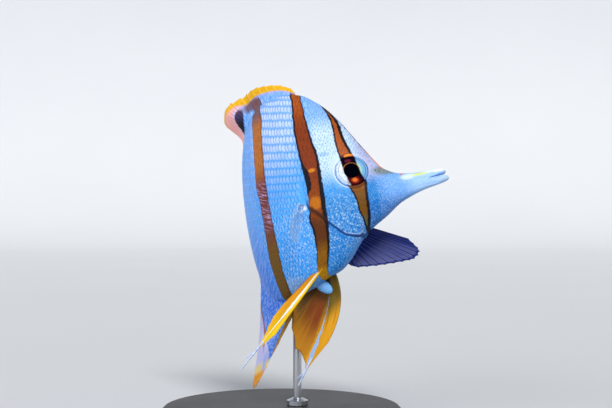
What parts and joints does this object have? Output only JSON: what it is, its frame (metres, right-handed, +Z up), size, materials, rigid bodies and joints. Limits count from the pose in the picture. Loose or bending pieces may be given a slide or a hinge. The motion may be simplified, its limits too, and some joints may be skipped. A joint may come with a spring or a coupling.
{
  "type": "copperband butterflyfish",
  "caption": "Life-size copperband butterflyfish with a long thin snout, its deep flat body curved and fins spread as it turns in the water, held on one rod over a round base.",
  "frame": {"origin": "centre of the underside of the stand's round base, on the floor", "axes": "+Z up; the fish's snout points along +X and its right side faces -Y"},
  "size_m": [0.1182, 0.1309, 0.1409],
  "materials": {
    "blue_white_skin": "satin",
    "eye": "polished",
    "yellow_fin": "satin",
    "clear_fin": "satin",
    "rod_steel": "satin",
    "base_black": "matte"
  },
  "bodies": {
    "root": {"snout": "blue_white_skin", "head": "blue_white_skin", "gill_cover_right": "blue_white_skin", "gill_cover_left": "blue_white_skin", "eye_right": "eye", "eye_left": "eye", "trunk": "blue_white_skin", "tail_stalk": "blue_white_skin", "dorsal_fin_spiny": "yellow_fin", "dorsal_fin_soft": "yellow_fin", "anal_fin_spiny": "yellow_fin", "anal_fin_soft": "yellow_fin", "tail_fin": "clear_fin", "pectoral_right": "clear_fin", "pectoral_left": "clear_fin", "pelvic_right": "yellow_fin", "pelvic_left": "yellow_fin", "stand_rod": "rod_steel", "stand_base": "base_black"}
  },
  "joints": []
}
